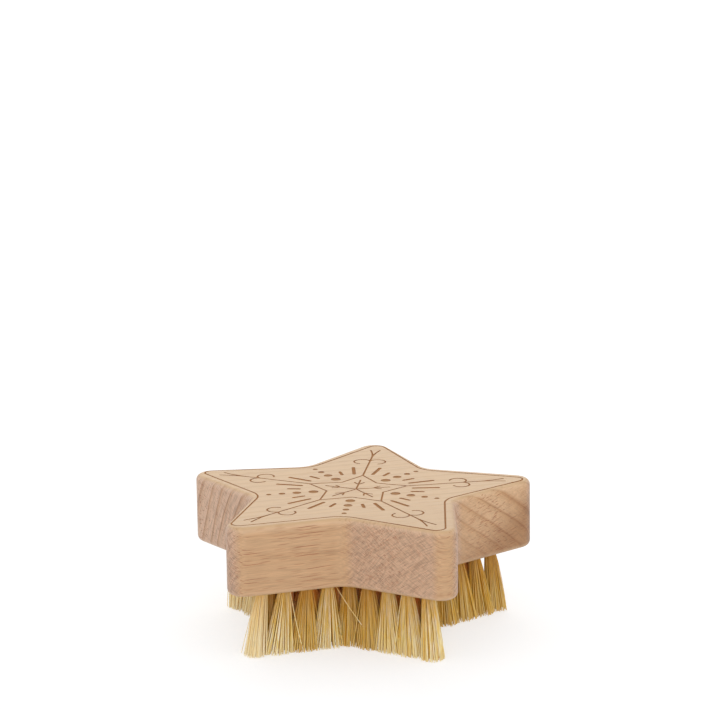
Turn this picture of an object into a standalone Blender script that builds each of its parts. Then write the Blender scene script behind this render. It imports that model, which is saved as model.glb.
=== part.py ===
"""A star-shaped dish brush, standing on its bristles.

One solid beech block, drilled from below with rows of blind holes that follow its outline, and a
tuft of stiff plant fibre set in every hole. Metres, +Z up, one arm of the star along +Y. The origin
is at the middle of the star, on the plane that the bristle tips are trimmed to.
"""

import math

import bmesh
import bpy
from mathutils import Vector

# Block, seen from above: five arms with straight sides, rounded at the tips and in the notches
ARMS = 5
SIDE_REACH = 0.0282  # from the middle square out to each straight side
TIP_HALF_ANGLE = math.radians(29.5)  # between an arm's middle line and its side
TIP_ROUND = 0.0050
NOTCH_ROUND = 0.0072
BLOCK_THICKNESS = 0.0205
EDGE_ROUND = 0.0018  # routed round the top and the bottom edge

# Tuft rows: each row is the star again, smaller, and the innermost tuft stands in the middle
ROWS = 4
ROW_MARGIN = 0.0086  # from the block's side in to the outer row's hole centres
HOLE_DIAMETER = 0.0034
HOLE_DEPTH = 0.0120
HOLE_CLEARANCE = 0.00033  # between a tuft and the wall or the blind end of its hole

# Bristles: each tuft is straight in its hole, then opens out and leans away from the middle
BRISTLE_LENGTH = 0.0195
OUTER_LEAN = 0.0014  # how far the outer row's tips stand outside its holes
TIP_GAP = 0.0003  # left between the open ends of two tufts
MEETING_HEIGHT = 0.0030  # above the tips, where the tufts of an inner row run together

CUT_OVERRUN = 0.0010  # how far a drill starts outside the wood

# Facets of the round shapes
TIP_STEPS = 8
NOTCH_STEPS = 4
EDGE_STEPS = 3
ROUND_SIDES = 8

SECTOR = math.pi / ARMS  # between an arm and the notch beside it
NOTCH_HALF_ANGLE = SECTOR + TIP_HALF_ANGLE  # between a notch's middle line and the sides beside it
BLOCK_TOP = BRISTLE_LENGTH + BLOCK_THICKNESS
OUTER_ROW_REACH = SIDE_REACH - ROW_MARGIN
LEAN = 1 + OUTER_LEAN / OUTER_ROW_REACH  # from the pattern of the holes to the pattern of the tips

BEECH = ((0.60, 0.40, 0.24), 0.62)
PLANT_FIBRE = ((0.62, 0.45, 0.18), 0.55)


def clear_scene():
    for item in list(bpy.data.objects):
        bpy.data.objects.remove(item, do_unlink=True)


def make_material(name, colour, roughness):
    material = bpy.data.materials.new(name)
    material.use_nodes = True
    shader = material.node_tree.nodes["Principled BSDF"]
    shader.inputs["Base Color"].default_value = (*colour, 1)
    shader.inputs["Roughness"].default_value = roughness
    shader.inputs["Metallic"].default_value = 0
    return material


def polar(radius, angle):
    return Vector((radius * math.cos(angle), radius * math.sin(angle)))


def arm_angle(arm):
    """Arm 0 lies along +Y, and the others follow anticlockwise."""
    return math.pi / 2 + 2 * SECTOR * arm


def star_outline(reach, tip_round, notch_round):
    """Points of a star with round tips and notches whose straight sides lie reach from the middle."""
    tip_centre = (reach - tip_round) / math.sin(TIP_HALF_ANGLE)
    notch_centre = (reach + notch_round) / math.sin(NOTCH_HALF_ANGLE)
    tip_sweep = math.pi / 2 - TIP_HALF_ANGLE
    notch_sweep = math.pi / 2 - NOTCH_HALF_ANGLE
    points = []
    for arm in range(ARMS):
        middle = arm_angle(arm)
        for step in range(TIP_STEPS + 1):
            turn = tip_sweep * (2 * step / TIP_STEPS - 1)
            points.append(polar(tip_centre, middle) + polar(tip_round, middle + turn))
        middle += SECTOR
        for step in range(NOTCH_STEPS + 1):
            turn = notch_sweep * (1 - 2 * step / NOTCH_STEPS)
            points.append(polar(notch_centre, middle) + polar(notch_round, middle + math.pi + turn))
    return points


def add_solid(mesh, rings):
    """Closes a stack of rings, each a list of points at one height, into a solid in mesh."""
    rows = [[mesh.verts.new(point) for point in ring] for ring in rings]
    for lower, upper in zip(rows, rows[1:]):
        for i in range(len(lower)):
            j = (i + 1) % len(lower)
            mesh.faces.new((lower[i], lower[j], upper[j], upper[i]))
    mesh.faces.new(list(reversed(rows[0])))
    mesh.faces.new(rows[-1])


def at_height(points, height):
    return [Vector((point.x, point.y, height)) for point in points]


def round_section(centre, diameter):
    """A polygon of ROUND_SIDES sides about centre."""
    return [centre + polar(diameter / 2, 2 * math.pi * i / ROUND_SIDES) for i in range(ROUND_SIDES)]


def make_object(name, mesh, material):
    bmesh.ops.recalc_face_normals(mesh, faces=mesh.faces)
    data = bpy.data.meshes.new(name)
    mesh.to_mesh(data)
    mesh.free()
    data.shade_smooth()
    data.set_sharp_from_angle(angle=math.radians(30))
    item = bpy.data.objects.new(name, data)
    bpy.context.scene.collection.objects.link(item)
    if material:
        data.materials.append(material)
    return item


def combine(item, other, operation):
    """Cuts other out of item, or joins it on, and keeps other in the scene as a guide only."""
    change = item.modifiers.new(other.name, "BOOLEAN")
    change.operation = operation
    change.solver = "EXACT"
    change.object = other
    other.hide_render = True
    other.display_type = "WIRE"


def corner(row, arm, notch):
    """Where a row's two straight lines of holes meet: on an arm, or in the notch after it."""
    reach = OUTER_ROW_REACH * row / ROWS
    if notch:
        return polar(reach / math.sin(NOTCH_HALF_ANGLE), arm_angle(arm) + SECTOR)
    return polar(reach / math.sin(TIP_HALF_ANGLE), arm_angle(arm))


def arm_holes(row, arm):
    """A row's hole centres on one arm, from the notch after it, round the tip, to the notch before.

    The notch before is left out, because it belongs to the arm before.
    """
    tip = corner(row, arm, notch=False)
    after = corner(row, arm, notch=True)
    before = corner(row, arm - 1, notch=True)
    left = [tip.lerp(after, step / row) for step in range(row, 0, -1)]
    right = [tip.lerp(before, step / row) for step in range(1, row)]
    return left + [tip] + right


def tip_diameter():
    """The open end of a tuft: as wide as leaves TIP_GAP to the nearest tuft beside it."""
    notch_step = corner(1, 0, notch=True).length
    row_step = (corner(1, 0, notch=False) - corner(1, 0, notch=True)).length
    return min(notch_step, row_step) * LEAN - TIP_GAP


def add_tuft(mesh, hole):
    """One tuft, from its trimmed tips up to the fold at the blind end of its hole."""
    root_diameter = HOLE_DIAMETER - 2 * HOLE_CLEARANCE
    fold_height = BRISTLE_LENGTH + HOLE_DEPTH - HOLE_CLEARANCE
    add_solid(
        mesh,
        [
            at_height(round_section(hole * LEAN, tip_diameter()), 0),
            at_height(round_section(hole, root_diameter), BRISTLE_LENGTH),
            at_height(round_section(hole, root_diameter), fold_height),
        ],
    )


def make_block(material):
    """The star, with its edges routed round, and all its blind holes."""
    edge_round = min(EDGE_ROUND, TIP_ROUND * 0.9, BLOCK_THICKNESS * 0.45)
    rings = []
    for step in range(EDGE_STEPS + 1):
        turn = math.pi / 2 * step / EDGE_STEPS
        inset = edge_round * (1 - math.sin(turn))
        outline = star_outline(SIDE_REACH - inset, TIP_ROUND - inset, NOTCH_ROUND + inset)
        rings.append((outline, edge_round * (1 - math.cos(turn))))
    mesh = bmesh.new()
    lower = [at_height(outline, BRISTLE_LENGTH + depth) for outline, depth in rings]
    upper = [at_height(outline, BLOCK_TOP - depth) for outline, depth in reversed(rings)]
    add_solid(mesh, lower + upper)
    block = make_object("beech_block", mesh, material)

    drills = bmesh.new()
    holes = [hole for row in range(1, ROWS + 1) for arm in range(ARMS) for hole in arm_holes(row, arm)]
    for hole in [Vector((0, 0))] + holes:
        section = round_section(hole, HOLE_DIAMETER)
        start = BRISTLE_LENGTH - CUT_OVERRUN
        add_solid(drills, [at_height(section, start), at_height(section, BRISTLE_LENGTH + HOLE_DEPTH)])
    combine(block, make_object("drills", drills, None), "DIFFERENCE")


def make_outer_tufts(material):
    """The row that shows: every tuft on its own."""
    for arm in range(ARMS):
        for number, hole in enumerate(arm_holes(ROWS, arm)):
            if number == 0:
                place = "notch"
            elif number < ROWS:
                place = f"left_{ROWS - number}"
            elif number == ROWS:
                place = "tip"
            else:
                place = f"right_{number - ROWS}"
            mesh = bmesh.new()
            add_tuft(mesh, hole)
            make_object(f"tuft_arm_{arm + 1}_{place}", mesh, material)


def meeting_strip(holes):
    """The band along an inner row in which the tips of its tufts run together."""
    row_gap = OUTER_ROW_REACH / ROWS * LEAN
    half_width = row_gap - tip_diameter() / 2 - TIP_GAP
    ends = [hole * LEAN for hole in holes]
    bends = [ends[0], max(ends, key=lambda end: end.length), ends[-1]]
    line = [bend for i, bend in enumerate(bends) if i == 0 or (bend - bends[i - 1]).length > 0]
    ways = [(b - a).normalized() for a, b in zip(line, line[1:])]
    sides = ([], [])
    for i, point in enumerate(line):
        before = ways[max(i - 1, 0)]
        after = ways[min(i, len(ways) - 1)]
        square = Vector((-before.y - after.y, before.x + after.x)).normalized()
        reach = half_width / square.dot(Vector((-after.y, after.x)))
        sides[0].append(point + square * reach)
        sides[1].append(point - square * reach)
    return sides[1] + sides[0][::-1]


def make_inner_tufts(material):
    """The rows behind it, by arm: tufts apart in their holes, whose spread tips run together."""
    for row in range(ROWS - 1, 0, -1):
        for arm in range(ARMS):
            holes = arm_holes(row, arm)
            mesh = bmesh.new()
            for hole in holes:
                add_tuft(mesh, hole)
            tufts = make_object(f"tufts_row_{ROWS + 1 - row}_arm_{arm + 1}", mesh, material)
            strip = bmesh.new()
            outline = meeting_strip(holes)
            add_solid(strip, [at_height(outline, 0), at_height(outline, MEETING_HEIGHT)])
            combine(tufts, make_object(f"meeting_row_{row}_arm_{arm + 1}", strip, None), "UNION")


def make_middle_tuft(material):
    mesh = bmesh.new()
    add_tuft(mesh, Vector((0, 0)))
    make_object("tuft_middle", mesh, material)


clear_scene()
fibre = make_material("plant_fibre", *PLANT_FIBRE)
make_block(make_material("beech", *BEECH))
make_outer_tufts(fibre)
make_inner_tufts(fibre)
make_middle_tuft(fibre)
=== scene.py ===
"""The star-shaped dish brush as it looks: engraved beech, tufts of plant fibre and their anchor wires.

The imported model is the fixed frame. Every piece is built in its coordinates, in metres, with +Z up,
one arm of the star along +Y and the trimmed bristle tips at height 0.
"""

import math
import random
from collections import namedtuple

import bmesh
import bpy
from mathutils import Matrix, Vector


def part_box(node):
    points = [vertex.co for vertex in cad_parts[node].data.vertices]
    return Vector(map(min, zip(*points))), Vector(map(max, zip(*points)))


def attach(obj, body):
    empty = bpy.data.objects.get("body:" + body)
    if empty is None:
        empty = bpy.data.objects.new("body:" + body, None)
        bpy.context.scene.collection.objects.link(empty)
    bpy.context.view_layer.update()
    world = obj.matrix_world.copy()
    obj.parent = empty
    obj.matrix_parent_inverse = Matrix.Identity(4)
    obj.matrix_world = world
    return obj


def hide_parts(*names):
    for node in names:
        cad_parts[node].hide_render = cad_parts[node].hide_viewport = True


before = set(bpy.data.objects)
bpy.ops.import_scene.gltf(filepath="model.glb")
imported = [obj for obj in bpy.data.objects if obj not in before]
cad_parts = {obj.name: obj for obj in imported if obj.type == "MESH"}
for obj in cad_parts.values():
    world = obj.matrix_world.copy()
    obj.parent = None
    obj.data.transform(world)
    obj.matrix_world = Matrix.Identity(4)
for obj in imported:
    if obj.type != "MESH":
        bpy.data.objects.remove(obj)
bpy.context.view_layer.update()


# The block
# One piece of steamed European beech, sawn to a star from a planed board, its edges routed round and
# sanded. It is drilled from below with 101 blind holes, in rows that follow its outline.

MM = 0.001
ARMS = 5
SECTOR = math.pi / ARMS  # between an arm and the notch beside it
TIP_HALF_ANGLE = math.radians(29.5)  # between an arm's middle line and its side
NOTCH_HALF_ANGLE = SECTOR + TIP_HALF_ANGLE
TIP_ROUND = 5.0 * MM
NOTCH_ROUND = 7.2 * MM
EDGE_ROUND = 1.8 * MM
TIP_STEPS = 24
NOTCH_STEPS = 12
EDGE_STEPS = 8
LEVEL = math.cos(math.radians(1))  # faces whose normals are at least so upright are shaded flat
SHARP_FROM = math.radians(30)  # edges that turn by more than this stay sharp

block_low, block_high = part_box("beech_block")
BLOCK_BOTTOM = block_low.z
BLOCK_TOP = block_high.z
SIDE_REACH = (block_high.y - TIP_ROUND) * math.sin(TIP_HALF_ANGLE) + TIP_ROUND

HOLE_ROWS = 4
ROW_MARGIN = 8.6 * MM  # from the block's side in to the outer row's hole centres
HOLE_DIAMETER = 3.4 * MM
HOLE_DEPTH = 12.0 * MM
HOLE_SIDES = 24
CUT_OVERRUN = 1.0 * MM  # how far a drill or an engraving cutter starts outside the wood


def polar(radius, angle):
    return Vector((radius * math.cos(angle), radius * math.sin(angle)))


def arm_angle(arm):
    """Arm 0 lies along +Y, and the others follow anticlockwise."""
    return math.pi / 2 + 2 * SECTOR * arm


def star_outline(reach, tip_round, notch_round):
    """A star with round tips and notches, whose straight sides lie reach from the middle."""
    tip_centre = (reach - tip_round) / math.sin(TIP_HALF_ANGLE)
    notch_centre = (reach + notch_round) / math.sin(NOTCH_HALF_ANGLE)
    tip_sweep = math.pi / 2 - TIP_HALF_ANGLE
    notch_sweep = math.pi / 2 - NOTCH_HALF_ANGLE
    points = []
    for arm in range(ARMS):
        middle = arm_angle(arm)
        for step in range(TIP_STEPS + 1):
            turn = tip_sweep * (2 * step / TIP_STEPS - 1)
            points.append(polar(tip_centre, middle) + polar(tip_round, middle + turn))
        middle += SECTOR
        for step in range(NOTCH_STEPS + 1):
            turn = notch_sweep * (1 - 2 * step / NOTCH_STEPS)
            points.append(polar(notch_centre, middle) + polar(notch_round, middle + math.pi + turn))
    return points


def circle(centre, radius, sides):
    return [centre + polar(radius, 2 * math.pi * i / sides) for i in range(sides)]


def at_height(points, height):
    return [Vector((point.x, point.y, height)) for point in points]


def add_solid(mesh, rings):
    """Closes a stack of rings of points into a solid in mesh."""
    rows = [[mesh.verts.new(point) for point in ring] for ring in rings]
    for lower, upper in zip(rows, rows[1:]):
        for i in range(len(lower)):
            j = (i + 1) % len(lower)
            mesh.faces.new((lower[i], lower[j], upper[j], upper[i]))
    mesh.faces.new(list(reversed(rows[0])))
    mesh.faces.new(rows[-1])


def make_object(name, mesh, material):
    bmesh.ops.recalc_face_normals(mesh, faces=mesh.faces)
    data = bpy.data.meshes.new(name)
    mesh.to_mesh(data)
    mesh.free()
    data.materials.append(material)
    item = bpy.data.objects.new(name, data)
    bpy.context.scene.collection.objects.link(item)
    return item


def cut(item, cutter):
    """Takes cutter out of item for good. What it leaves bare has the cutter's own material."""
    change = item.modifiers.new(cutter.name, "BOOLEAN")
    change.operation = "DIFFERENCE"
    change.solver = "EXACT"
    change.material_mode = "TRANSFER"
    change.object = cutter
    bpy.context.view_layer.update()
    shaped = item.evaluated_get(bpy.context.evaluated_depsgraph_get())
    data = bpy.data.meshes.new_from_object(shaped)
    item.modifiers.clear()
    item.data = data
    bpy.data.objects.remove(cutter, do_unlink=True)


def hole_corner(row, arm, notch):
    """Where a row's two straight lines of holes meet: on an arm, or in the notch after it."""
    reach = (SIDE_REACH - ROW_MARGIN) * row / HOLE_ROWS
    if notch:
        return polar(reach / math.sin(NOTCH_HALF_ANGLE), arm_angle(arm) + SECTOR)
    return polar(reach / math.sin(TIP_HALF_ANGLE), arm_angle(arm))


def arm_holes(row, arm):
    """A row's hole centres on one arm, from the notch after it, round the tip, to the notch before."""
    tip = hole_corner(row, arm, notch=False)
    after = hole_corner(row, arm, notch=True)
    before = hole_corner(row, arm - 1, notch=True)
    left = [tip.lerp(after, step / row) for step in range(row, 0, -1)]
    right = [tip.lerp(before, step / row) for step in range(1, row)]
    return left + [tip] + right


def linear(hex_colour):
    """An sRGB hex colour as the opaque, linear colour that a socket takes."""
    levels = [int(hex_colour[i : i + 2], 16) / 255 for i in (1, 3, 5)]
    return (*(v / 12.92 if v <= 0.04045 else ((v + 0.055) / 1.055) ** 2.4 for v in levels), 1)


def new_material(name):
    """A new material, its node tree, and the Principled shader that it starts with."""
    material = bpy.data.materials.new(name)
    material.use_nodes = True
    return material, material.node_tree, material.node_tree.nodes["Principled BSDF"]


def add_node(tree, kind, settings=None, **inputs):
    """A node with its settings, and its inputs by name or place: a value, or a socket to link from."""
    made = tree.nodes.new("ShaderNode" + kind)
    for name, value in (settings or {}).items():
        setattr(made, name, value)
    for name, value in inputs.items():
        socket = made.inputs[int(name[1:])] if name[0] == "_" else made.inputs[name]
        if isinstance(value, bpy.types.NodeSocket):
            tree.links.new(value, socket)
        else:
            socket.default_value = value
    return made


def set_ramp(ramp, stops):
    """Gives a colour ramp its stops: a place from 0 to 1, and a hex colour, each."""
    elements = ramp.color_ramp.elements
    while len(elements) < len(stops):
        elements.new(1)
    for element, (place, colour) in zip(elements, stops):
        element.position = place
        element.color = linear(colour)


# Beech: the board's grain runs along GRAIN_TURN, and its growth rings are arcs round a pith that lay
# below the board's front edge. All sizes of the figure are in millimetres of real wood, and each room
# is given along the grain, out from the pith and round it.
GRAIN_TURN = math.radians(22.7)
PITH_ACROSS = -87.0  # from the star's middle, across the grain
PITH_HEIGHT = -13.0
RING_WIDTH = 4.4
RING_RADIUS = 97.0  # about where the block was cut, to lay the rings' own length out in millimetres
RING_WANDER = 0.8
RING_TONES = [  # through one year, from the first early wood to the last late wood
    (0.0, "#BB8D62"),
    (0.11, "#D6AE85"),
    (0.60, "#D4AC82"),
    (0.88, "#CCA175"),
    (1.0, "#B28256"),
]
EVEN_WOOD = "#C69D75"  # most of the colour where the rings are faint
RAY_BROWN = "#9C5C36"
# this tint is painted shade, which darkens one end of the board low down
SHADE_TINT_AT_END = "#CFBDA8"
# the top and the bottom are paler than the sides by painted sheen
TOP_TONE_WITH_SHEEN = "#CDAC7F"
WANDER_ROOM = (60, 30, 30)  # in so much room the rings' lines wander once
UNEVEN_ROOM = (80, 12, 40)  # and in so much their width varies once
LEAN_YEARS = (76.0, 90.0, 2.0)  # from and to so far out from the pith, this many rings more
FAINT_RINGS = 74.0  # up to so far out from the pith the ring lines are faint
CLEAR_RINGS = 90.0  # and from here on they are clear
FAINT_SHARE = 0.15  # how much of them shows where they are faint
END_GRAIN_TURN = (0.40, 0.80)  # the fibres' share in a face's normal where end grain starts and is full
END_GRAIN_TINT = (-0.06, -0.02, 0.22)  # what cut fibre ends add to the red, green and blue

# Real vessels and the finest rays are about a tenth of a millimetre wide, too fine to show in the
# render, so the threads and the hatch that stand for them are drawn three times as coarse
VESSEL_ROOM = (7.0, 0.30, 0.30)
VESSEL_TONES = (0.88, 1.10)  # of the darkest thread and the palest
PORE_ROOM = (8.0, 0.34, 3.2)
HAZE_ROOM = (6.0, 3.2, 0.32)
PORES_SHOWN = (0.25, 0.95)  # along the grain, and on the end grain
HAZE_SHOWN = (1.0, 0.3)  # among the faint rings, and among the clear ones
HATCH_SPAN = (0.2, 0.6)  # the noise values between which the hatch goes from its dark to its pale tone
HATCH_TONES = (-0.27, 0.09)  # what it adds to the wood's tone at its darkest and at its palest

# Painted shade at one end of the board, darker low down: where it starts and where it is full
SHADE_START_ALONG = 46.0  # along the grain from the middle, plus SHADE_SLOPE_BELOW times the depth below the top
SHADE_FULL_ALONG = 69.0
SHADE_SLOPE_BELOW = 1.5
TOP_FIGURE = 0.34  # how much of the figure the finely sanded top and bottom show
EDGE_HIGHLIGHT_TINT = (0.24, 0.30, 0.56)  # painted highlight: what the routed edges add to red, green and blue
LOW_NOISE = 0.3  # nearly all values of a noise texture lie between these two
HIGH_NOISE = 0.7

# Each ray lies in a room of this size. Its lens starts and is full so far from a point in that room,
# and it is at least and at most so dark, where below 0 there is no ray at all
BROAD_RAY = {"room": (20.0, 1.2, 0.34), "lens": (0.29, 0.20), "depth": (-0.8, 1.5)}
FINE_RAY = {"room": (5.0, 2.6, 0.34), "lens": (0.42, 0.28), "depth": (-0.3, 0.55)}


def beech_figure(tree):
    """Sockets for the wood's own places: along the grain, out from the pith, round the pith, in mm."""
    place = add_node(tree, "TexCoord").outputs["Object"]
    turned = add_node(
        tree,
        "Mapping",
        Vector=place,
        Location=(0, -PITH_ACROSS, -PITH_HEIGHT),
        Rotation=(0, 0, -GRAIN_TURN),
        Scale=(1 / MM,) * 3,
    ).outputs[0]
    drift = add_node(tree, "Mapping", Vector=turned, Scale=tuple(1 / size for size in WANDER_ROOM))
    wander = add_node(tree, "TexNoise", Vector=drift.outputs[0], Scale=1.0, Detail=4.0)
    centred = add_node(
        tree, "VectorMath", {"operation": "SUBTRACT"}, _0=wander.outputs["Color"], _1=(0.5,) * 3
    )
    shift = add_node(
        tree, "VectorMath", {"operation": "SCALE"}, _0=centred.outputs[0], Scale=2 * RING_WANDER
    )
    moved = add_node(tree, "VectorMath", {"operation": "ADD"}, _0=turned, _1=shift.outputs[0])
    parts = add_node(tree, "SeparateXYZ", Vector=moved.outputs[0]).outputs
    across = add_node(tree, "CombineXYZ", Y=parts["Y"], Z=parts["Z"]).outputs[0]
    out = add_node(tree, "VectorMath", {"operation": "LENGTH"}, _0=across).outputs["Value"]
    turn = add_node(tree, "Math", {"operation": "ARCTAN2"}, _0=parts["Z"], _1=parts["Y"]).outputs[0]
    round_pith = add_node(tree, "Math", {"operation": "MULTIPLY"}, _0=turn, _1=RING_RADIUS)
    return parts["X"], out, round_pith.outputs[0]


def in_rooms(tree, figure, room):
    """The wood's places again, as counts of rooms that are that many millimetres each way."""
    whole = add_node(tree, "CombineXYZ", X=figure[0], Y=figure[1], Z=figure[2]).outputs[0]
    return add_node(tree, "Mapping", Vector=whole, Scale=tuple(1 / size for size in room)).outputs[0]


def ray_flecks(tree, figure, room, lens, depth):
    """Flat lenses that lie out from the pith, each as dark as it happens to be."""
    rooms = add_node(tree, "TexVoronoi", Vector=in_rooms(tree, figure, room), Scale=1.0)
    shape = add_node(tree, "MapRange", Value=rooms.outputs["Distance"], _1=lens[0], _2=lens[1])
    chance = add_node(tree, "SeparateColor", Color=rooms.outputs["Color"]).outputs[0]
    dark = add_node(tree, "MapRange", Value=chance, _3=depth[0], _4=depth[1])
    return add_node(
        tree, "Math", {"operation": "MULTIPLY"}, _0=shape.outputs[0], _1=dark.outputs[0]
    ).outputs[0]


def ring_colour(tree, figure):
    """Pale early wood and browner late wood, ring after ring, closer together in the lean years."""
    out = figure[1]
    even_years = add_node(tree, "Math", {"operation": "DIVIDE"}, _0=out, _1=RING_WIDTH).outputs[0]
    start, end, more = LEAN_YEARS
    lean_years = add_node(tree, "MapRange", Value=out, _1=start, _2=end, _4=more).outputs[0]
    years = add_node(tree, "Math", {"operation": "ADD"}, _0=even_years, _1=lean_years).outputs[0]
    uneven = add_node(tree, "TexNoise", Vector=in_rooms(tree, figure, UNEVEN_ROOM), Scale=1.0)
    age = add_node(tree, "Math", {"operation": "ADD"}, _0=years, _1=uneven.outputs["Fac"]).outputs[0]
    season = add_node(tree, "Math", {"operation": "FRACT"}, _0=age).outputs[0]
    rings = add_node(tree, "ValToRGB", Fac=season)
    set_ramp(rings, RING_TONES)
    clearness = add_node(tree, "MapRange", Value=out, _1=FAINT_RINGS, _2=CLEAR_RINGS, _3=FAINT_SHARE)
    return add_node(
        tree,
        "Mix",
        {"data_type": "RGBA"},
        Factor=clearness.outputs[0],
        _6=linear(EVEN_WOOD),
        _7=rings.outputs["Color"],
    ).outputs[2]


def end_grain_share(tree):
    """1 on a face that cuts the fibres across, and 0 on one that follows them."""
    facing = add_node(
        tree,
        "VectorMath",
        {"operation": "DOT_PRODUCT"},
        _0=add_node(tree, "TexCoord").outputs["Normal"],
        _1=(math.cos(GRAIN_TURN), math.sin(GRAIN_TURN), 0),
    ).outputs["Value"]
    along = add_node(tree, "Math", {"operation": "ABSOLUTE"}, _0=facing).outputs[0]
    start, full = END_GRAIN_TURN
    return add_node(tree, "MapRange", Value=along, _1=start, _2=full).outputs[0]


def hatched(tree, figure, end_grain, colour):
    """colour with bands of pores beside the rings, and with rays too fine to be seen one by one."""
    low, high = PORES_SHOWN
    pores_shown = add_node(tree, "MapRange", Value=end_grain, _3=low, _4=high).outputs[0]
    low, high = HAZE_SHOWN
    haze_left = add_node(
        tree, "MapRange", Value=figure[1], _1=FAINT_RINGS, _2=CLEAR_RINGS, _3=low, _4=high
    ).outputs[0]
    haze_shown = add_node(
        tree, "Math", {"operation": "MULTIPLY"}, _0=haze_left, _1=pores_shown
    ).outputs[0]
    for room, shown in ((PORE_ROOM, pores_shown), (HAZE_ROOM, haze_shown)):
        pattern = add_node(tree, "TexNoise", Vector=in_rooms(tree, figure, room), Scale=1.0, Detail=0.0)
        swing = add_node(
            tree,
            "MapRange",
            Value=pattern.outputs["Fac"],
            _1=HATCH_SPAN[0],
            _2=HATCH_SPAN[1],
            _3=HATCH_TONES[0],
            _4=HATCH_TONES[1],
        ).outputs[0]
        tone = add_node(tree, "Math", {"operation": "MULTIPLY_ADD"}, _0=swing, _1=shown, _2=1.0)
        colour = add_node(
            tree, "VectorMath", {"operation": "SCALE"}, _0=colour, Scale=tone.outputs[0]
        ).outputs[0]
    return colour


def shaded_at_one_end(tree, figure, colour):
    """colour with painted shade at one end of the board, which reaches farther along it low down."""
    place = add_node(tree, "TexCoord").outputs["Object"]
    height = add_node(tree, "SeparateXYZ", Vector=place).outputs["Z"]
    below = add_node(
        tree,
        "Math",
        {"operation": "MULTIPLY_ADD"},
        _0=height,
        _1=-SHADE_SLOPE_BELOW / MM,
        _2=SHADE_SLOPE_BELOW * BLOCK_TOP / MM,
    ).outputs[0]
    reach = add_node(tree, "Math", {"operation": "ADD"}, _0=figure[0], _1=below).outputs[0]
    end_shade = add_node(
        tree, "MapRange", {"interpolation_type": "SMOOTHSTEP"}, Value=reach, _1=SHADE_START_ALONG, _2=SHADE_FULL_ALONG
    )
    return add_node(
        tree,
        "Mix",
        {"data_type": "RGBA", "blend_type": "MULTIPLY"},
        Factor=end_shade.outputs[0],
        _6=colour,
        _7=linear(SHADE_TINT_AT_END),
    ).outputs[2]


# Sanded, unfinished beech: matt and pinkish tan, with darker ring lines, short brown ray flecks, and
# a greyer, pinker tone where the fibres are cut across. The eye sees long flecks on the faces that
# follow the grain and a fine cross hatch on the end grain.
def beech_colour(tree):
    """Sockets for the wood's colour, and for the flecks and threads that its surface follows."""
    figure = beech_figure(tree)
    end_grain = end_grain_share(tree)

    # Rays: short dark flecks where a face cuts across them, strokes where it runs along them
    broad = ray_flecks(tree, figure, **BROAD_RAY)
    fine = ray_flecks(tree, figure, **FINE_RAY)
    fleck = add_node(tree, "Math", {"operation": "MAXIMUM"}, _0=broad, _1=fine).outputs[0]
    flecked = add_node(
        tree,
        "Mix",
        {"data_type": "RGBA"},
        Factor=fleck,
        _6=ring_colour(tree, figure),
        _7=linear(RAY_BROWN),
    ).outputs[2]

    # Vessels: fine pale and dark threads along the grain
    threads = add_node(
        tree, "TexNoise", Vector=in_rooms(tree, figure, VESSEL_ROOM), Scale=1.0, Detail=3.0
    ).outputs["Fac"]
    dark, pale = VESSEL_TONES
    tone = add_node(tree, "MapRange", Value=threads, _1=LOW_NOISE, _2=HIGH_NOISE, _3=dark, _4=pale)
    threaded = add_node(
        tree, "VectorMath", {"operation": "SCALE"}, _0=flecked, Scale=tone.outputs[0]
    ).outputs[0]
    figured = shaded_at_one_end(tree, figure, hatched(tree, figure, end_grain, threaded))

    # The top and the bottom were sanded finer than the sides, and show less of the figure, and their paler
    # tone is painted sheen, the haze that the top shows to a low view
    normal = add_node(tree, "TexCoord").outputs["Normal"]
    upright = add_node(tree, "SeparateXYZ", Vector=normal).outputs["Z"]
    level = add_node(tree, "Math", {"operation": "ABSOLUTE"}, _0=upright).outputs[0]
    shown = add_node(tree, "MapRange", Value=level, _3=1.0, _4=TOP_FIGURE)
    plainer_with_sheen = add_node(
        tree,
        "Mix",
        {"data_type": "RGBA"},
        Factor=shown.outputs[0],
        _6=linear(TOP_TONE_WITH_SHEEN),
        _7=figured,
    ).outputs[2]

    # The routed edges are between upright and level, and a painted highlight makes them paler
    edge_highlight = add_node(tree, "Math", {"operation": "PINGPONG"}, _0=level, _1=0.5).outputs[0]
    tint = (1, 1, 1)
    for share, more in ((edge_highlight, EDGE_HIGHLIGHT_TINT), (end_grain, END_GRAIN_TINT)):
        tint = add_node(
            tree, "VectorMath", {"operation": "MULTIPLY_ADD"}, _0=share, _1=more, _2=tint
        ).outputs[0]
    colour = add_node(tree, "VectorMath", {"operation": "MULTIPLY"}, _0=plainer_with_sheen, _1=tint).outputs[0]
    return colour, fleck, threads


WOOD_IOR = 1.5
SANDED_ROUGHNESS = (0.40, 0.52)
SANDED_NAP = {"Strength": 0.35, "Distance": 0.05 * MM}
BURNT_ROUGHNESS = 0.85
BURNT_NAP = {"Strength": 0.6, "Distance": 0.08 * MM}


def make_beech():
    material, tree, shader = new_material("beech_sanded")
    colour, fleck, threads = beech_colour(tree)
    tree.links.new(colour, shader.inputs["Base Color"])
    shader.inputs["IOR"].default_value = WOOD_IOR
    smooth, rough = SANDED_ROUGHNESS
    dull = add_node(tree, "MapRange", Value=threads, _1=LOW_NOISE, _2=HIGH_NOISE, _3=smooth, _4=rough)
    tree.links.new(dull.outputs[0], shader.inputs["Roughness"])
    nap = add_node(tree, "Math", {"operation": "SUBTRACT"}, _0=threads, _1=fleck)
    bump = add_node(tree, "Bump", Height=nap.outputs[0], **SANDED_NAP)
    tree.links.new(bump.outputs[0], shader.inputs["Normal"])
    return material


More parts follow.
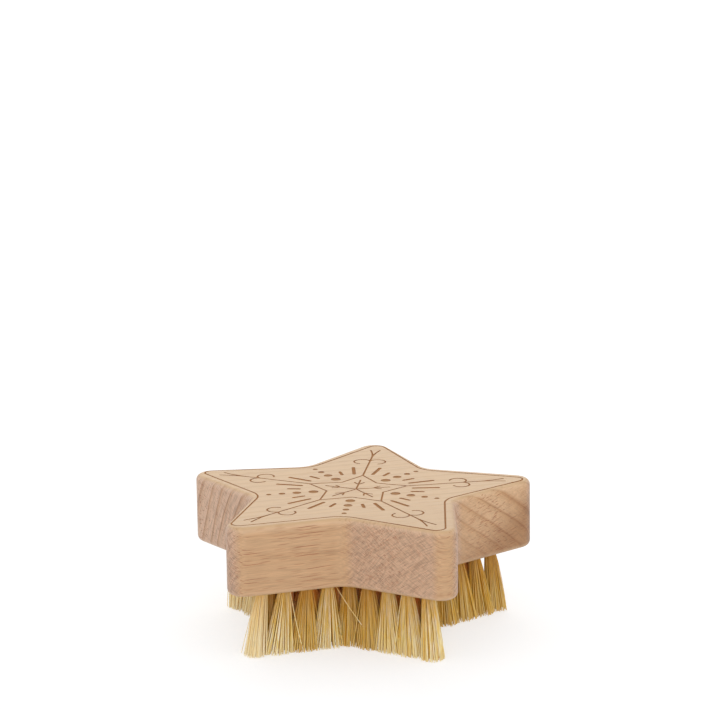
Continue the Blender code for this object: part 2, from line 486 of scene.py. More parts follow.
# Laser-burnt beech: the beam chars the top layer to a dull red-brown, and the grain still shows. Lines
# are burnt darker than the dots, which the beam fills in with quick strokes.
def make_burnt_beech(name, burnt):
    material, tree, shader = new_material(name)
    colour, _, threads = beech_colour(tree)
    char = add_node(
        tree,
        "Mix",
        {"data_type": "RGBA", "blend_type": "MULTIPLY"},
        Factor=1.0,
        _6=colour,
        _7=linear(burnt),
    ).outputs[2]
    tree.links.new(char, shader.inputs["Base Color"])
    shader.inputs["Roughness"].default_value = BURNT_ROUGHNESS
    shader.inputs["IOR"].default_value = WOOD_IOR
    bump = add_node(tree, "Bump", Height=threads, **BURNT_NAP)
    tree.links.new(bump.outputs[0], shader.inputs["Normal"])
    return material


beech = make_beech()
burnt_lines = make_burnt_beech("beech_laser_lines", "#C8A476")
burnt_dots = make_burnt_beech("beech_laser_dots", "#D2BBA2")


def make_block():
    """The star with its routed edges, and all its blind holes."""
    rings = []
    for step in range(EDGE_STEPS + 1):
        turn = math.pi / 2 * step / EDGE_STEPS
        inset = EDGE_ROUND * (1 - math.sin(turn))
        outline = star_outline(SIDE_REACH - inset, TIP_ROUND - inset, NOTCH_ROUND + inset)
        rings.append((outline, EDGE_ROUND * (1 - math.cos(turn))))
    mesh = bmesh.new()
    lower = [at_height(outline, BLOCK_BOTTOM + depth) for outline, depth in rings]
    upper = [at_height(outline, BLOCK_TOP - depth) for outline, depth in reversed(rings)]
    add_solid(mesh, lower + upper)
    block = make_object("star_block", mesh, beech)

    drills = bmesh.new()
    holes = [Vector((0, 0))]
    for row in range(1, HOLE_ROWS + 1):
        for arm in range(ARMS):
            holes += arm_holes(row, arm)
    for hole in holes:
        section = circle(hole, HOLE_DIAMETER / 2, HOLE_SIDES)
        start = at_height(section, BLOCK_BOTTOM - CUT_OVERRUN)
        add_solid(drills, [start, at_height(section, BLOCK_BOTTOM + HOLE_DEPTH)])
    cut(block, make_object("drills", drills, beech))
    return block


block = make_block()


# The engraving
# A snowflake ornament burnt into the top by laser, an eighth of a millimetre deep: a border line, a
# small star with a stem, fork and two curls on every arm, dashes and dots between, a flake inside.

ENGRAVING_DEPTH = 0.12 * MM
DEPTH_STEP = 0.01 * MM  # each pass burns a little deeper, so that where lines cross no floors coincide
ENGRAVING_TURN = math.radians(-1.15)  # the blank lay a little askew under the laser
ENGRAVING_SHIFT = Vector((-0.08, -0.20)) * MM

BORDER_REACH = 25.75 * MM
BORDER_TIP_ROUND = 2.4 * MM
BORDER_NOTCH_ROUND = 8.6 * MM
BORDER_WIDTH = 0.52 * MM
LINE_WIDTH = 0.52 * MM
STAR_TIP = 15.15 * MM
STAR_NOTCH = 8.72 * MM
FORK_FOOT = 36.3 * MM  # where the two prongs start to part
FORK_END = Vector((1.42, 44.3)) * MM
FORK_BEND = 1.7  # the power that the prong curves out by
CURL_CENTRE = Vector((2.3, 30.9)) * MM
CURL_RADIUS = 2.45 * MM
CURL_START = math.radians(150)
CURL_END = math.radians(-77)
LONG_DASH = (Vector((4.02, 23.7)) * MM, Vector((2.8, 16.5)) * MM, 1.07 * MM)
SHORT_DASH = (Vector((7.39, 18.45)) * MM, Vector((6.3, 15.43)) * MM, 0.98 * MM)
DOTS = (
    (12.66 * MM, 1.46 * MM),
    (17.58 * MM, 1.28 * MM),
    (21.95 * MM, 0.98 * MM),
    (25.83 * MM, 0.74 * MM),
)
FLAKE_SPOKE = 9.9 * MM
FLAKE_FOOT = 5.3 * MM
FLAKE_END = Vector((1.38, 7.15)) * MM
FLAKE_BEND = 1.3
STROKE_STEPS = 10
END_STEPS = 6
DOT_SIDES = 28


def stroke(points, width):
    """The outline of a line of that width through points, with round ends."""
    outline = []
    for way in (1, -1):
        side = points[::way]
        for i, point in enumerate(side):
            before = side[max(i - 1, 0)]
            after = side[min(i + 1, len(side) - 1)]
            ahead = (after - before).normalized()
            outline.append(point + Vector((ahead.y, -ahead.x)) * width / 2)
        heading = math.atan2(ahead.y, ahead.x)
        for step in range(1, END_STEPS):
            turn = math.pi * (step / END_STEPS - 0.5)
            outline.append(side[-1] + polar(width / 2, heading + turn))
    return outline


def in_engraving(points, arm, mirror=1):
    """Points given for the arm along +Y, laid on another arm and set as the engraving lies."""
    turn = Matrix.Rotation(2 * SECTOR * arm + ENGRAVING_TURN, 2)
    return [turn @ Vector((mirror * p.x, p.y)) + ENGRAVING_SHIFT for p in points]


def fork_prong():
    points = []
    for step in range(STROKE_STEPS + 1):
        share = step / STROKE_STEPS
        height = FORK_FOOT + (FORK_END.y - FORK_FOOT) * share
        points.append(Vector((FORK_END.x * share**FORK_BEND, height)))
    return points


def curl():
    points = []
    for step in range(2 * STROKE_STEPS + 1):
        turn = CURL_START + (CURL_END - CURL_START) * step / (2 * STROKE_STEPS)
        points.append(CURL_CENTRE + polar(CURL_RADIUS, turn))
    return points


def flake_barb():
    """From the foot of a chevron on a spoke of the flake, out and up in a slight curve."""
    points = []
    for step in range(STROKE_STEPS // 2 + 1):
        share = step / (STROKE_STEPS // 2)
        height = FLAKE_FOOT + (FLAKE_END.y - FLAKE_FOOT) * share**FLAKE_BEND
        points.append(Vector((FLAKE_END.x * share, height)))
    return points


def border_pass():
    """The border line and the small star: closed lines, each an outline inside another."""
    border = [
        star_outline(BORDER_REACH + side, BORDER_TIP_ROUND + side, BORDER_NOTCH_ROUND - side)
        for side in (BORDER_WIDTH / 2, -BORDER_WIDTH / 2)
    ]
    side_length = (polar(STAR_TIP, 0) - polar(STAR_NOTCH, SECTOR)).length
    side_reach = STAR_TIP * STAR_NOTCH * math.sin(SECTOR) / side_length
    star = []
    for side in (LINE_WIDTH / 2, -LINE_WIDTH / 2):
        grow = 1 + side / side_reach
        outline = []
        for arm in range(ARMS):
            for reach, turn in ((STAR_TIP, 0), (STAR_NOTCH, SECTOR)):
                outline.append(polar(reach * grow, arm_angle(arm) + turn))
        star.append(outline)
    return [border, star]


def stem_pass(arm):
    """What stands on an arm's middle line, and the dashes beside it."""
    stem = [Vector((0, STAR_TIP)), Vector((0, FORK_FOOT + LINE_WIDTH))]
    spoke = [Vector((0, LINE_WIDTH)), Vector((0, FLAKE_SPOKE))]
    lines = [in_engraving(stroke(line, LINE_WIDTH), arm) for line in (stem, spoke)]
    for mirror in (1, -1):
        for start, end, width in (LONG_DASH, SHORT_DASH):
            lines.append(in_engraving(stroke([start, end], width), arm, mirror))
    return lines


def dot_pass(arm):
    """The row of dots between two arms."""
    dots = []
    for reach, radius in DOTS:
        centre = polar(reach, math.pi / 2 + SECTOR)
        dots.append(in_engraving(circle(centre, radius, DOT_SIDES), arm))
    return dots


def side_pass(arm, mirror):
    """What leaves an arm's middle line to one side."""
    lines = (fork_prong(), curl(), flake_barb())
    return [in_engraving(stroke(line, LINE_WIDTH), arm, mirror) for line in lines]


def engrave(number, burnt, outlines, closed=()):
    """Burns outlines, and closed lines between two outlines, into the block's top."""
    floor = BLOCK_TOP - ENGRAVING_DEPTH - DEPTH_STEP * number
    mesh = bmesh.new()
    for outline in outlines:
        add_solid(mesh, [at_height(outline, floor), at_height(outline, BLOCK_TOP + CUT_OVERRUN)])
    for pair in closed:
        outer, inner = (in_engraving(outline, 0) for outline in pair)
        rings = [
            [mesh.verts.new(point) for point in at_height(outline, height)]
            for outline, height in (
                (outer, floor),
                (outer, BLOCK_TOP + CUT_OVERRUN),
                (inner, BLOCK_TOP + CUT_OVERRUN),
                (inner, floor),
            )
        ]
        for a, b in zip(rings, rings[1:] + rings[:1]):
            for i in range(len(a)):
                j = (i + 1) % len(a)
                mesh.faces.new((a[i], a[j], b[j], b[i]))
    cut(block, make_object(f"engraving_{number}", mesh, burnt))


engrave(0, burnt_lines, [], border_pass())
engrave(1, burnt_lines, [outline for arm in range(ARMS) for outline in stem_pass(arm)])
engrave(2, burnt_lines, [outline for arm in range(ARMS) for outline in side_pass(arm, 1)])
engrave(3, burnt_lines, [outline for arm in range(ARMS) for outline in side_pass(arm, -1)])
engrave(4, burnt_lines, [in_engraving(circle(Vector((0, 0)), LINE_WIDTH, DOT_SIDES), 0)])
engrave(5, burnt_dots, [outline for arm in range(ARMS) for outline in dot_pass(arm)])

for face in block.data.polygons:
    face.use_smooth = abs(face.normal.z) < LEVEL
block.data.set_sharp_from_angle(angle=SHARP_FROM)
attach(block, "root")
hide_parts("beech_block")


# The anchor wires
# A short length of flat steel wire holds each tuft. It is driven in with the fold of the tuft, and
# its two ends bite into the wall of the hole, across the grain so that the wood doesn't split.

ANCHOR_LENGTH = 4.3 * MM
ANCHOR_HEIGHT = 1.8 * MM
ANCHOR_THICKNESS = 0.5 * MM
ANCHOR_CORNER = 0.12 * MM
HOLE_CLEARANCE = 0.33 * MM  # between a tuft and the wall or the blind end of its hole
TUFT_RADIUS = HOLE_DIAMETER / 2 - HOLE_CLEARANCE
FOLD_TOP = BLOCK_BOTTOM + HOLE_DEPTH - HOLE_CLEARANCE
ANCHOR_TOP = FOLD_TOP - TUFT_RADIUS
WIRE_WAY = Vector((-math.sin(GRAIN_TURN), math.cos(GRAIN_TURN), 0))
FOLD_WAY = Vector((math.cos(GRAIN_TURN), math.sin(GRAIN_TURN), 0))
DRAWN_LINES = (20, 0.5, 20)  # per millimetre: across the wire, along it and up
STEEL_TONES = [(LOW_NOISE, "#8E8F90"), (HIGH_NOISE, "#B4B5B5")]
STEEL_ROUGHNESS = (0.28, 0.42)


# Flattened steel wire: cold-rolled, so it is bright and finely drawn along its length.
def make_steel():
    material, tree, shader = new_material("steel_wire_rolled")
    shader.inputs["Metallic"].default_value = 1.0
    lines = add_node(
        tree,
        "Mapping",
        Vector=add_node(tree, "TexCoord").outputs["Object"],
        Rotation=(0, 0, -GRAIN_TURN),
        Scale=tuple(count / MM for count in DRAWN_LINES),
    ).outputs[0]
    drawn = add_node(tree, "TexNoise", Vector=lines, Scale=1.0).outputs["Fac"]
    tone = add_node(tree, "ValToRGB", Fac=drawn)
    set_ramp(tone, STEEL_TONES)
    tree.links.new(tone.outputs["Color"], shader.inputs["Base Color"])
    smooth, rough = STEEL_ROUGHNESS
    worn = add_node(tree, "MapRange", Value=drawn, _1=LOW_NOISE, _2=HIGH_NOISE, _3=smooth, _4=rough)
    tree.links.new(worn.outputs[0], shader.inputs["Roughness"])
    return material


def add_anchor(mesh, hole):
    """A flat bar with its long edges rounded off, standing on edge across the hole."""
    half_thick = ANCHOR_THICKNESS / 2
    half_high = ANCHOR_HEIGHT / 2
    middle = Vector((hole.x, hole.y, ANCHOR_TOP - half_high))
    section = []
    for side, end in ((1, 1), (-1, 1), (-1, -1), (1, -1)):
        near = (side * half_thick, end * (half_high - ANCHOR_CORNER))
        far = (side * (half_thick - ANCHOR_CORNER), end * half_high)
        section += [near, far] if side * end > 0 else [far, near]
    rings = []
    for end in (-1, 1):
        start = middle + WIRE_WAY * end * ANCHOR_LENGTH / 2
        rings.append([start + FOLD_WAY * across + Vector((0, 0, up)) for across, up in section])
    add_solid(mesh, rings)


steel = make_steel()
anchors = bmesh.new()
add_anchor(anchors, Vector((0, 0)))
for row in range(1, HOLE_ROWS + 1):
    for arm in range(ARMS):
        for hole in arm_holes(row, arm):
            add_anchor(anchors, hole)
anchor_wires = make_object("anchor_wires", anchors, steel)
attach(anchor_wires, "root")


# The tufts
# Stiff plant fibre (tampico), cut to length, folded over the anchor wire and driven into the hole.
# Each tuft stands straight in its hole, opens out below it, and is trimmed level with the others.

FIBRES = 80  # each is folded, and so shows two ends
FIBRE_RADIUS = (0.08 * MM, 0.14 * MM)
FIBRE_SIDES = 4
FREE_STEPS = 4
FOLD_STEPS = 3
OUTER_LEAN = 1.4 * MM  # how far the outer row's tips stand outside its holes
LEAN = 1 + OUTER_LEAN / (SIDE_REACH - ROW_MARGIN)
TIP_SPREAD = 3.0 * MM  # out from the row and in from it
MINGLE_SHARE = 1.40  # how far fibres reach along the row, of the way to the middle of the next gap
OUTER_HABIT = (1.0, 0.95)  # how wide a tuft spreads, and how straight its fibres are: below 1 they flare
CORNER_HABIT = (1.16, 0.8)  # the tufts at the arms' tips have more room
INNER_HABIT = (1.15, 0.5)  # the rows behind open out right below the block
SPREAD_SHARES = (0.86, 1.06)  # of the tuft's spread, as each fibre happens to spring
TIP_STRAY = 0.32 * MM  # how far a tip typically lies from its place
BEND = 0.45 * MM  # how far a fibre typically bows out on its way down
TRIM_UNEVEN = 0.14 * MM
SHORT_SHARE = 0.03  # of the fibres, which slipped up in their tuft before it was trimmed
SHORT_BY = 2.4 * MM
WILD_SHARE = 0.016  # of the fibres, which spring out across their neighbours
WILD_REACH = 2.8 * MM
PUSHED = {  # tufts at and beside the corners that were bent out of line, and how far their tips moved
    "tuft_arm_2_tip": Vector((3.5, -3.2, 0)) * MM,
    "tuft_arm_2_left_1": Vector((0.8, -0.3, 0)) * MM,
    "tuft_arm_3_tip": Vector((-0.5, 0.0, 0)) * MM,
    "tuft_arm_3_right_1": Vector((0.5, -0.3, 0)) * MM,
    "tuft_arm_3_left_1": Vector((-0.6, -0.3, 0)) * MM,
    "tuft_arm_5_tip": Vector((-1.1, -0.1, 0)) * MM,
}
SPRUNG = {  # tufts with one long fibre that lies across the next ones, and where that fibre ends
    "tuft_arm_3_left_3": Vector((11.9, -1.6, 4.0)) * MM,
    "tuft_arm_4_right_3": Vector((-4.6, -1.2, 0.1)) * MM,
    "tuft_arm_3_left_1": Vector((5.2, -1.4, 0.1)) * MM,
    "tuft_arm_4_right_1": Vector((-3.9, -1.5, 0.1)) * MM,
}
CLUMP = 0.9 * MM  # fibres that lie together are much of a shade
CLUMP_LENGTH = 14.0 * MM
CLUMP_NOISE = (0.35, 0.65)  # the noise values of the most golden clumps and of the palest
OWN_SHARE = 0.6  # of a fibre's shade that is its own, and not its clump's
FIBRE_SHADES = [  # from the most golden fibre to the palest
    (0.0, "#D99E20"),
    (0.25, "#EDC449"),
    (0.5, "#F8E08C"),
    (0.75, "#FDF1C4"),
    (1.0, "#FFFBEA"),
]
LIT_TIPS_HEIGHT = 5.0 * MM  # the painted light on the tips fades up to this height, and the painted shade starts here
PAINTED_TIP_LIGHT = ("#FFF3C6", 0.36, 0.0)  # painted light: to what colour the fibres are paled, and how far at the tips and above them
# stronger painted light, for the pale batch
STRONG_PAINTED_TIP_LIGHT = ("#FFF4D4", 0.66, 0.46)
MOTTLE_CELLS = (3, 3, 0.25)  # per millimetre: short across the fibres and long along them
MOTTLE_TONES = (0.90, 1.06)
FIBRE_ROUGHNESS = (0.36, 0.5)
FIBRE_IOR = 1.5
FIBRE_SPECULAR = 0.12  # the fibre's own wax is mostly gone, so it shines little
SHADED_AND_LIT_BATCHES = {  # outer tufts that aren't of the straw-coloured batch: golden ones are painted shade, pale ones painted light
    "tuft_arm_3_right_1": "golden",
    "tuft_arm_3_left_2": "golden",
    "tuft_arm_3_notch": "golden",
    "tuft_arm_4_right_3": "golden",
    "tuft_arm_4_notch": "golden",
    "tuft_arm_5_right_3": "golden",
    "tuft_arm_5_right_2": "golden",
    "tuft_arm_5_right_1": "golden",
    "tuft_arm_5_tip": "golden",
    "tuft_arm_2_tip": "pale",
    "tuft_arm_2_left_1": "pale",
    "tuft_arm_2_left_2": "pale",
    "tuft_arm_3_tip": "pale",
}
GOLDEN_TURN = math.pi * (3 - math.sqrt(5))  # lays the fibres evenly over the round hole

# The hole that a tuft stands in, half the way from the hole before it to the hole after it, the habit
# that its fibres spread by, and how far its tips were pushed
Tuft = namedtuple("Tuft", "hole row_step habit push")


def fold_places():
    """Where one half of the folded fibres stands in the hole: across and along the wire, as shares."""
    places = []
    for i in range(2 * FIBRES):
        spot = polar(math.sqrt((i + 0.5) / (2 * FIBRES)), GOLDEN_TURN * i)
        if spot.x > 0:
            places.append(spot)
    return places


def free_end(tuft, across, along, chance):
    """The free end of a fibre, from its trimmed tip up to the mouth of the hole."""
    hole = tuft.hole.to_3d()
    place = FOLD_WAY * across + WIRE_WAY * along
    root = hole + place * TUFT_RADIUS
    row_way = tuft.row_step.to_3d().normalized()
    row_spread = max(TIP_SPREAD, tuft.row_step.length / 2 * LEAN * MINGLE_SHARE)
    spread = place * TIP_SPREAD + row_way * place.dot(row_way) * (row_spread - TIP_SPREAD)
    width, straightness = tuft.habit
    stray = polar(chance.gauss(0, TIP_STRAY), chance.uniform(0, math.pi)).to_3d()
    tip = hole * LEAN + spread * width * chance.uniform(*SPREAD_SHARES)
    tip += tuft.push + stray
    if chance.random() < WILD_SHARE:
        tip += polar(chance.uniform(0, WILD_REACH), chance.uniform(0, 2 * math.pi)).to_3d()
    bend = polar(chance.gauss(0, BEND), chance.uniform(0, math.pi)).to_3d()
    trim = chance.uniform(0, TRIM_UNEVEN)
    if chance.random() < SHORT_SHARE:
        trim += chance.uniform(0, SHORT_BY)
    points = []
    for step in range(FREE_STEPS + 1):
        share = 1 - step / FREE_STEPS
        height = trim + (BLOCK_BOTTOM - trim) * (1 - share)
        flat = root.lerp(tip, share**straightness) + bend * share * (1 - share)
        points.append(Vector((flat.x, flat.y, height)))
    return points


def fold(hole, across, along):
    """Over the anchor wire, from one side of the hole to the other."""
    half_wire = ANCHOR_THICKNESS / 2 + FIBRE_RADIUS[1]
    reach = half_wire + across * (TUFT_RADIUS - half_wire)
    middle = Vector((hole.x, hole.y, ANCHOR_TOP)) + WIRE_WAY * along * TUFT_RADIUS
    below = middle - Vector((0, 0, ANCHOR_HEIGHT))
    points = [below + FOLD_WAY * reach]
    for step in range(FOLD_STEPS + 1):
        turn = math.pi * step / FOLD_STEPS
        points.append(middle + FOLD_WAY * reach * math.cos(turn) + Vector((0, 0, reach * math.sin(turn))))
    points.append(below - FOLD_WAY * reach)
    return points


def add_fibre(vertices, faces, points, radius):
    """A tube of FIBRE_SIDES sides along points, closed at its ends."""
    first = len(vertices)
    for i, point in enumerate(points):
        ahead = (points[min(i + 1, len(points) - 1)] - points[max(i - 1, 0)]).normalized()
        side = ahead.cross(WIRE_WAY).normalized()
        for corner in range(FIBRE_SIDES):
            turn = 2 * math.pi * (corner + 0.5) / FIBRE_SIDES
            place = point + (WIRE_WAY * math.cos(turn) + side * math.sin(turn)) * radius
            vertices.append((place.x, place.y, max(place.z, 0)))
    for i in range(len(points) - 1):
        low = first + i * FIBRE_SIDES
        for corner in range(FIBRE_SIDES):
            after = (corner + 1) % FIBRE_SIDES
            faces.append((low + corner, low + after, low + FIBRE_SIDES + after, low + FIBRE_SIDES + corner))
    last = first + (len(points) - 1) * FIBRE_SIDES
    faces.append(tuple(range(first + FIBRE_SIDES - 1, first - 1, -1)))
    faces.append(tuple(range(last, last + FIBRE_SIDES)))


def add_tuft(vertices, faces, tuft, chance):
    for place in fold_places():
        one = free_end(tuft, place.x, place.y, chance)
        other = free_end(tuft, -place.x, place.y, chance)
        points = one + fold(tuft.hole, place.x, place.y) + other[::-1]
        add_fibre(vertices, faces, points, chance.uniform(*FIBRE_RADIUS))


# Tampico fibre: undyed and dull-glossed, and each fibre its own shade. Painted light makes it paler at the
# tips, and painted shade more golden towards the fold. Some tufts are of a golden batch, painted shade, and
# a few of a pale one, painted light, and the inner rows are of a browner grade, painted shade that shows
# red-brown in the gaps.
def make_fibre(name, tip_light, tip_tone, fold_shade):
    material, tree, shader = new_material(name)
    place = add_node(tree, "TexCoord").outputs["Object"]

    # The fibre's shade, partly its clump's and partly its own
    clump_cells = add_node(
        tree, "Mapping", Vector=place, Scale=(1 / CLUMP, 1 / CLUMP, 1 / CLUMP_LENGTH)
    ).outputs[0]
    clumps = add_node(tree, "TexNoise", Vector=clump_cells, Scale=1.0).outputs["Fac"]
    low, high = CLUMP_NOISE
    clumped = add_node(tree, "MapRange", Value=clumps, _1=low, _2=high, _4=1 - OWN_SHARE).outputs[0]
    island = add_node(tree, "NewGeometry").outputs["Random Per Island"]
    mixed = add_node(
        tree, "Math", {"operation": "MULTIPLY_ADD"}, _0=island, _1=OWN_SHARE, _2=clumped
    ).outputs[0]
    shade = add_node(tree, "ValToRGB", Fac=mixed)
    set_ramp(shade, FIBRE_SHADES)

    # Mottling along it
    cells = add_node(tree, "Mapping", Vector=place, Scale=tuple(count / MM for count in MOTTLE_CELLS))
    mottle = add_node(tree, "TexNoise", Vector=cells.outputs[0], Scale=1.0, Detail=2.0).outputs["Fac"]
    dark, pale = MOTTLE_TONES
    tone = add_node(tree, "MapRange", Value=mottle, _1=LOW_NOISE, _2=HIGH_NOISE, _3=dark, _4=pale)
    mottled = add_node(
        tree, "VectorMath", {"operation": "SCALE"}, _0=shade.outputs["Color"], Scale=tone.outputs[0]
    ).outputs[0]

    # Painted light makes them paler towards the tips, and painted shade more golden towards the fold
    height = add_node(tree, "SeparateXYZ", Vector=place).outputs["Z"]
    tip_light_colour, at_tips, above = tip_light
    tip_light_share = add_node(tree, "MapRange", Value=height, _2=LIT_TIPS_HEIGHT, _3=at_tips, _4=above)
    tip_lit = add_node(
        tree,
        "Mix",
        {"data_type": "RGBA"},
        Factor=tip_light_share.outputs[0],
        _6=mottled,
        _7=linear(tip_light_colour),
    ).outputs[2]
    rootward_shade = add_node(tree, "MapRange", Value=height, _1=LIT_TIPS_HEIGHT, _2=BLOCK_BOTTOM)
    age = add_node(
        tree,
        "Mix",
        {"data_type": "RGBA"},
        Factor=rootward_shade.outputs[0],
        _6=linear(tip_tone),
        _7=linear(fold_shade),
    ).outputs[2]
    colour = add_node(tree, "VectorMath", {"operation": "MULTIPLY"}, _0=tip_lit, _1=age).outputs[0]
    tree.links.new(colour, shader.inputs["Base Color"])

    smooth, rough = FIBRE_ROUGHNESS
    gloss = add_node(tree, "MapRange", Value=mottle, _1=LOW_NOISE, _2=HIGH_NOISE, _3=smooth, _4=rough)
    tree.links.new(gloss.outputs[0], shader.inputs["Roughness"])
    shader.inputs["IOR"].default_value = FIBRE_IOR
    shader.inputs["Specular IOR Level"].default_value = FIBRE_SPECULAR
    return material


# The golden batch and the browner inside are painted shade, and the pale batch is painted light
fibres = {
    "straw": make_fibre("tampico_fibre_cut", PAINTED_TIP_LIGHT, tip_tone="#FFFFFF", fold_shade="#E8C88C"),
    "pale": make_fibre("tampico_fibre_pale_painted_light", STRONG_PAINTED_TIP_LIGHT, tip_tone="#FFFFFF", fold_shade="#F4DFB4"),
    "golden": make_fibre("tampico_fibre_golden_painted_shade", PAINTED_TIP_LIGHT, tip_tone="#ECD8A8", fold_shade="#D2A25C"),
    "brown": make_fibre("tampico_fibre_inside_painted_shade", PAINTED_TIP_LIGHT, tip_tone="#FFF4DE", fold_shade="#F0863C"),
}


def row_steps(row, arm):
    """For each hole of a row on one arm, half the way from the hole before it to the hole after it."""
    holes = arm_holes(row, arm)
    line = [arm_holes(row, (arm + 1) % ARMS)[-1]] + holes + [hole_corner(row, arm - 1, notch=True)]
    return [(after - before) / 2 for before, after in zip(line, line[2:])]


def add_sprung_fibre(vertices, faces, hole, end):
    """One fibre that left its tuft at the mouth of the hole, and crosses in front of its neighbours."""
    foot = Vector((hole.x, hole.y, ANCHOR_TOP))
    mouth = Vector((hole.x, hole.y, BLOCK_BOTTOM)) + Vector((end.x, end.y, 0)).normalized() * TUFT_RADIUS
    tip = hole.to_3d() + end
    sag = Vector((0, -TUFT_RADIUS, 0))  # to the front, clear of the tufts that it crosses
    points = [foot]
    for step in range(FREE_STEPS + 1):
        share = step / FREE_STEPS
        points.append(mouth.lerp(tip, share) + sag * math.sin(math.pi * share))
    add_fibre(vertices, faces, points, FIBRE_RADIUS[1])


def plant_tufts(node, holes, steps, habit, seed, batch):
    """The tufts of one node of the CAD model, whose fibres fall as its own seed has it."""
    vertices, faces = [], []
    chance = random.Random(seed)
    push = PUSHED.get(node, Vector())
    for hole, row_step in zip(holes, steps):
        add_tuft(vertices, faces, Tuft(hole, row_step, habit, push), chance)
    if node in SPRUNG:
        add_sprung_fibre(vertices, faces, holes[0], SPRUNG[node])
    data = bpy.data.meshes.new("fibres_" + node)
    data.from_pydata(vertices, [], faces)
    data.materials.append(fibres[batch])
    item = bpy.data.objects.new("fibres_" + node, data)
    bpy.context.scene.collection.objects.link(item)
    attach(item, "root")
    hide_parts(node)


def outer_places():
    """The names of an arm's outer tufts, from the notch after it round its tip."""
    left = [f"left_{number}" for number in range(HOLE_ROWS - 1, 0, -1)]
    right = [f"right_{number}" for number in range(1, HOLE_ROWS)]
    return ["notch"] + left + ["tip"] + right


for arm in range(ARMS):
    outer_row = zip(outer_places(), arm_holes(HOLE_ROWS, arm), row_steps(HOLE_ROWS, arm))
    for number, (place, hole, row_step) in enumerate(outer_row):
        node = f"tuft_arm_{arm + 1}_{place}"
        habit = CORNER_HABIT if place == "tip" else OUTER_HABIT
        batch = SHADED_AND_LIT_BATCHES.get(node, "straw")
        plant_tufts(node, [hole], [row_step], habit, 100 * arm + number, batch)
    for row in range(HOLE_ROWS - 1, 0, -1):
        node = f"tufts_row_{HOLE_ROWS + 1 - row}_arm_{arm + 1}"
        steps = row_steps(row, arm)
        # the inner rows are of the browner fibre, painted shade for the gaps between the outer tufts
        plant_tufts(node, arm_holes(row, arm), steps, INNER_HABIT, 1000 * row + arm, "brown")
middle = Vector((0, 0))
plant_tufts("tuft_middle", [middle], [middle], INNER_HABIT, 5000, "brown")


# The floor
# A plain white sweep of studio paper, matt, which keeps a soft shadow under the brush.

FLOOR_SIZE = 8.0
PAPER = "#EDEDED"  # as it lights the brush from below
PAPER_SEEN = "#BCBCBC"  # as the camera sees it, with its glow added, so that only the shadow shows
PAPER_GLOW = 0.60
PAPER_ROUGHNESS = 0.95


def seen_share(tree):
    """1 for a ray that shows what it meets to the camera, and 0 for one that only gathers light."""
    ray = add_node(tree, "LightPath").outputs
    seen = add_node(tree, "Math", {"operation": "ADD"}, _0=ray["Is Camera Ray"], _1=ray["Is Glossy Ray"])
    return add_node(
        tree,
        "Math",
        {"operation": "ADD", "use_clamp": True},
        _0=seen.outputs[0],
        _1=ray["Is Transmission Ray"],
    ).outputs[0]


# Studio paper: even, matt white without any texture that the eye could see.
def make_paper():
    material, tree, shader = new_material("paper_white_matt")
    seen = seen_share(tree)
    tone = add_node(
        tree, "Mix", {"data_type": "RGBA"}, Factor=seen, _6=linear(PAPER), _7=linear(PAPER_SEEN)
    ).outputs[2]
    tree.links.new(tone, shader.inputs["Base Color"])
    shader.inputs["Roughness"].default_value = PAPER_ROUGHNESS
    shader.inputs["Specular IOR Level"].default_value = 0.0
    shader.inputs["Emission Color"].default_value = linear("#FFFFFF")
    glow = add_node(tree, "Math", {"operation": "MULTIPLY"}, _0=seen, _1=PAPER_GLOW)
    tree.links.new(glow.outputs[0], shader.inputs["Emission Strength"])
    return material


paper = bmesh.new()
bmesh.ops.create_grid(paper, x_segments=1, y_segments=1, size=FLOOR_SIZE / 2)
floor = make_object("studio_paper", paper, make_paper())


# The light
# Soft white light from all round, a small soft lamp low in front, and a large one high behind.

ROOM_LIGHT = 0.80


def make_world():
    world = bpy.data.worlds.new("white_room")
    bpy.context.scene.world = world
    world.use_nodes = True
    tree = world.node_tree
    strength = add_node(tree, "MapRange", Value=seen_share(tree), _3=ROOM_LIGHT, _4=1.0)
    background = tree.nodes["Background"]
    background.inputs["Color"].default_value = linear("#FFFFFF")
    tree.links.new(strength.outputs[0], background.inputs["Strength"])


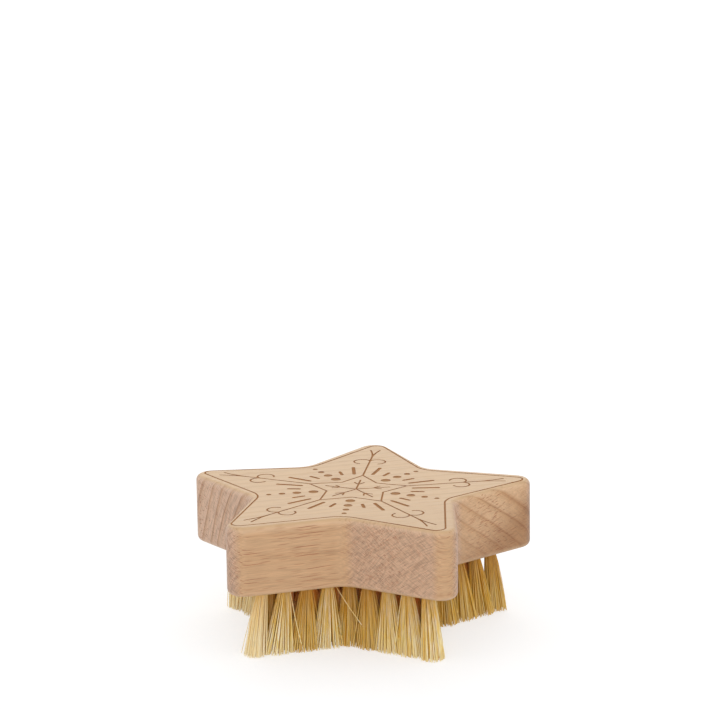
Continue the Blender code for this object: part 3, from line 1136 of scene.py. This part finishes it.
def add_lamp(name, azimuth, elevation, distance, size, power):
    """A square soft lamp that looks at the brush, placed as a camera view is named."""
    a, e = math.radians(azimuth), math.radians(elevation)
    back = Vector((math.sin(a) * math.cos(e), -math.cos(a) * math.cos(e), math.sin(e)))
    data = bpy.data.lights.new(name, "AREA")
    data.size = size
    data.energy = power
    lamp = bpy.data.objects.new(name, data)
    lamp.location = back * distance
    lamp.rotation_mode = "QUATERNION"
    lamp.rotation_quaternion = (-back).to_track_quat("-Z", "Y")
    bpy.context.scene.collection.objects.link(lamp)


make_world()
add_lamp("key_softbox", azimuth=10, elevation=14, distance=1.6, size=0.7, power=5)
add_lamp("back_softbox", azimuth=190, elevation=38, distance=1.8, size=1.4, power=6.5)

bpy.context.scene.view_settings.view_transform = "Standard"
bpy.context.scene.cycles.diffuse_bounces = 12  # light goes on from fibre to fibre, deep into the tufts


# The camera
# A long lens, a little above the brush. The middle of the block's top is the point it is set from.

CAMERA_AZIMUTH = math.radians(6.707)
CAMERA_ELEVATION = math.radians(12.977)
CAMERA_ROLL = math.radians(0.875)
TOP_FROM_CAMERA = Vector((0.000440, -0.039124, 0.887997))  # to the right, up and ahead
LENS = 154.06
FAR_CLIP = 20.0

up = Vector((0, math.sin(CAMERA_ELEVATION), math.cos(CAMERA_ELEVATION)))
ahead = Vector((0, math.cos(CAMERA_ELEVATION), -math.sin(CAMERA_ELEVATION)))
right = Vector((1, 0, 0))
rolled_right = right * math.cos(CAMERA_ROLL) - up * math.sin(CAMERA_ROLL)
rolled_up = right * math.sin(CAMERA_ROLL) + up * math.cos(CAMERA_ROLL)
round_brush = Matrix.Rotation(CAMERA_AZIMUTH, 3, "Z")
axes = [round_brush @ axis for axis in (rolled_right, rolled_up, ahead)]

camera_data = bpy.data.cameras.new("camera")
camera_data.lens = LENS
camera_data.clip_end = FAR_CLIP
camera = bpy.data.objects.new("camera", camera_data)
bpy.context.scene.collection.objects.link(camera)
camera.location = Vector((0, 0, BLOCK_TOP)) - sum(
    (axis * length for axis, length in zip(axes, TOP_FROM_CAMERA)), Vector()
)
camera.rotation_mode = "QUATERNION"
camera.rotation_quaternion = Matrix((axes[0], axes[1], -axes[2])).transposed().to_quaternion()
bpy.context.scene.camera = camera
